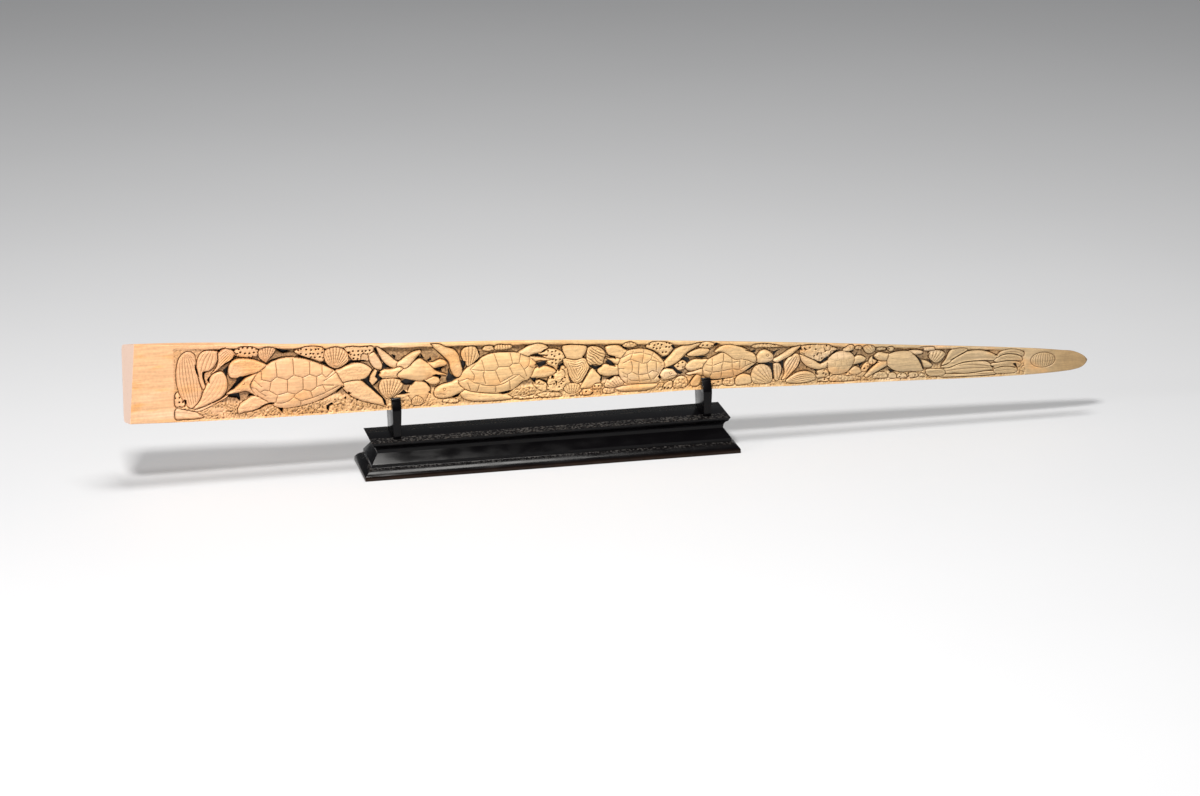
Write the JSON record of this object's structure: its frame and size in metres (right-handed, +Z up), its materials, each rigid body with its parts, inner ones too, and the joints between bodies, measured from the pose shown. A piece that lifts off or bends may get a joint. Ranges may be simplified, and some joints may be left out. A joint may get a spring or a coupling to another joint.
{
  "type": "carved bill on a display stand",
  "caption": "Swordfish bill carved in relief with sea turtles, shells, corals and sea plants, lying on edge in two forks on a moulded black stand.",
  "frame": {"origin": "centre of the stand's underside, on the ground", "axes": "+X along the bill from its sawn butt towards its tip, +Y away from the carved face towards the rounded back, +Z up"},
  "size_m": [1.0065, 0.0698, 0.1535],
  "materials": {
    "carved_bone": "satin",
    "black_lacquer": "gloss"
  },
  "bodies": {
    "root": {"bill": "carved_bone", "fork_butt_end": "black_lacquer", "fork_tip_end": "black_lacquer", "stand_base": "black_lacquer"}
  },
  "joints": []
}
